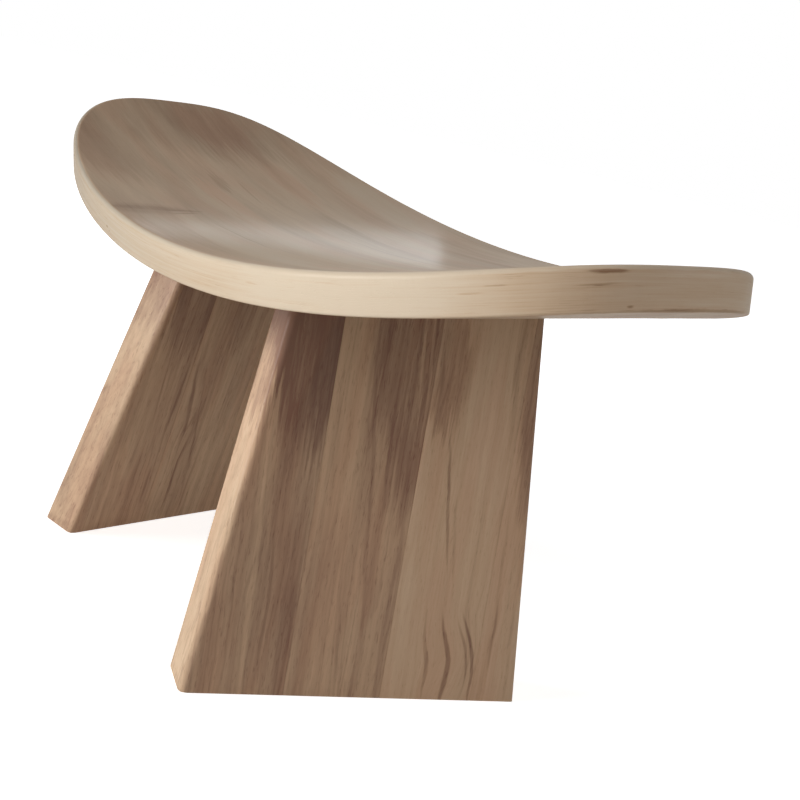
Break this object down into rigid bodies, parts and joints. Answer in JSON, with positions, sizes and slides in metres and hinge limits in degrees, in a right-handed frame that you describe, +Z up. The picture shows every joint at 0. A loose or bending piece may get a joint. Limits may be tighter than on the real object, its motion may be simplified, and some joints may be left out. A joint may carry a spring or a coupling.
{
  "type": "meditation stool",
  "caption": "Low kneeling stool with an oval wooden seat, bent up at both ends, on splayed, tapering panel legs, for sitting upright over the lower legs.",
  "frame": {"origin": "on the floor, under the middle of the bounding box", "axes": "+X along the seat's length, to the side of the sitter's left hand; -Y is the front, where the seat is lowest and the knees go; +Z up"},
  "size_m": [0.451, 0.2095, 0.2335],
  "materials": {
    "seat_wood": "satin lacquer",
    "leg_wood": "satin lacquer",
    "dowel_beech": "raw"
  },
  "bodies": {
    "root": {"seat_board": "seat_wood", "left_leg_stave_1": "leg_wood", "left_leg_stave_2": "leg_wood", "left_leg_stave_3": "leg_wood", "left_leg_stave_4": "leg_wood", "right_leg_stave_1": "leg_wood", "right_leg_stave_2": "leg_wood", "right_leg_stave_3": "leg_wood", "right_leg_stave_4": "leg_wood", "left_dowel_front": "dowel_beech", "left_dowel_middle": "dowel_beech", "left_dowel_rear": "dowel_beech", "right_dowel_front": "dowel_beech", "right_dowel_middle": "dowel_beech", "right_dowel_rear": "dowel_beech"}
  },
  "joints": []
}
